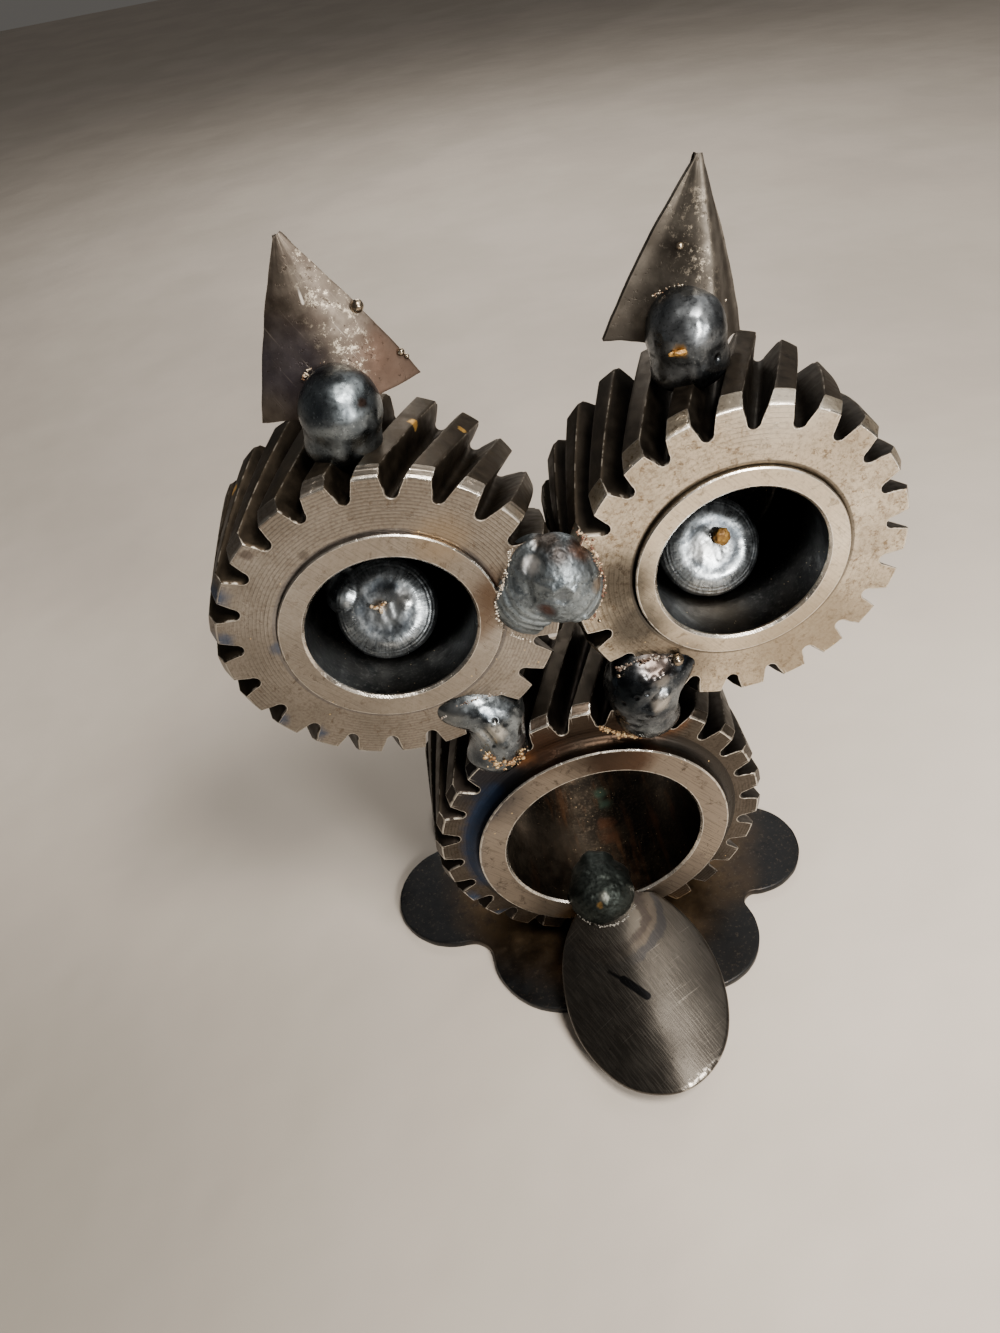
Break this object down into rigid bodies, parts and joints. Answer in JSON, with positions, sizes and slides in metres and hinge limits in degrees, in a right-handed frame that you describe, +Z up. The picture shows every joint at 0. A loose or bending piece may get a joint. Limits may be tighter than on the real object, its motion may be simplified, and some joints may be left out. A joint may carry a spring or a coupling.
{
  "type": "steampunk owl sculpture",
  "caption": "Owl welded from scrap steel: helical gears for eyes and mouth, curved sheet ears, an arched oval tongue and a lobed foot plate, joined by weld nuggets.",
  "frame": {"origin": "centre of the bounding box on the foot plate's underside", "axes": "+Z up, the face looks along -Y, +X is to the right of someone who looks at the face"},
  "size_m": [0.1554, 0.1492, 0.2085],
  "materials": {
    "eye_steel": "machined grey faces with fine turning lines, bright chamfers, dark oily tooth flanks and brown heat stain near the welds",
    "mouth_steel": "grey-brown machined steel with rust, a bright front ring and blue heat tint in its fillet",
    "sheet_steel": "worn cold-rolled sheet, brownish grey with bright scuffs and pits",
    "weld_steel": "glossy blue-grey weld metal with ripples, craters and specks of yellow slag",
    "plate_steel": "black-blue mill scale with brown heat tint towards the middle"
  },
  "bodies": {
    "root": {"left_eye_gear": "eye_steel", "right_eye_gear": "eye_steel", "mouth_gear": "mouth_steel", "left_ear": "sheet_steel", "right_ear": "sheet_steel", "tongue": "sheet_steel", "base_plate": "plate_steel", "brow_weld": "weld_steel", "left_ear_weld": "weld_steel", "right_ear_weld": "weld_steel", "left_cheek_weld": "weld_steel", "right_cheek_weld": "weld_steel", "tongue_weld": "weld_steel", "left_pupil": "weld_steel", "right_pupil": "weld_steel", "base_weld": "weld_steel"}
  },
  "joints": []
}
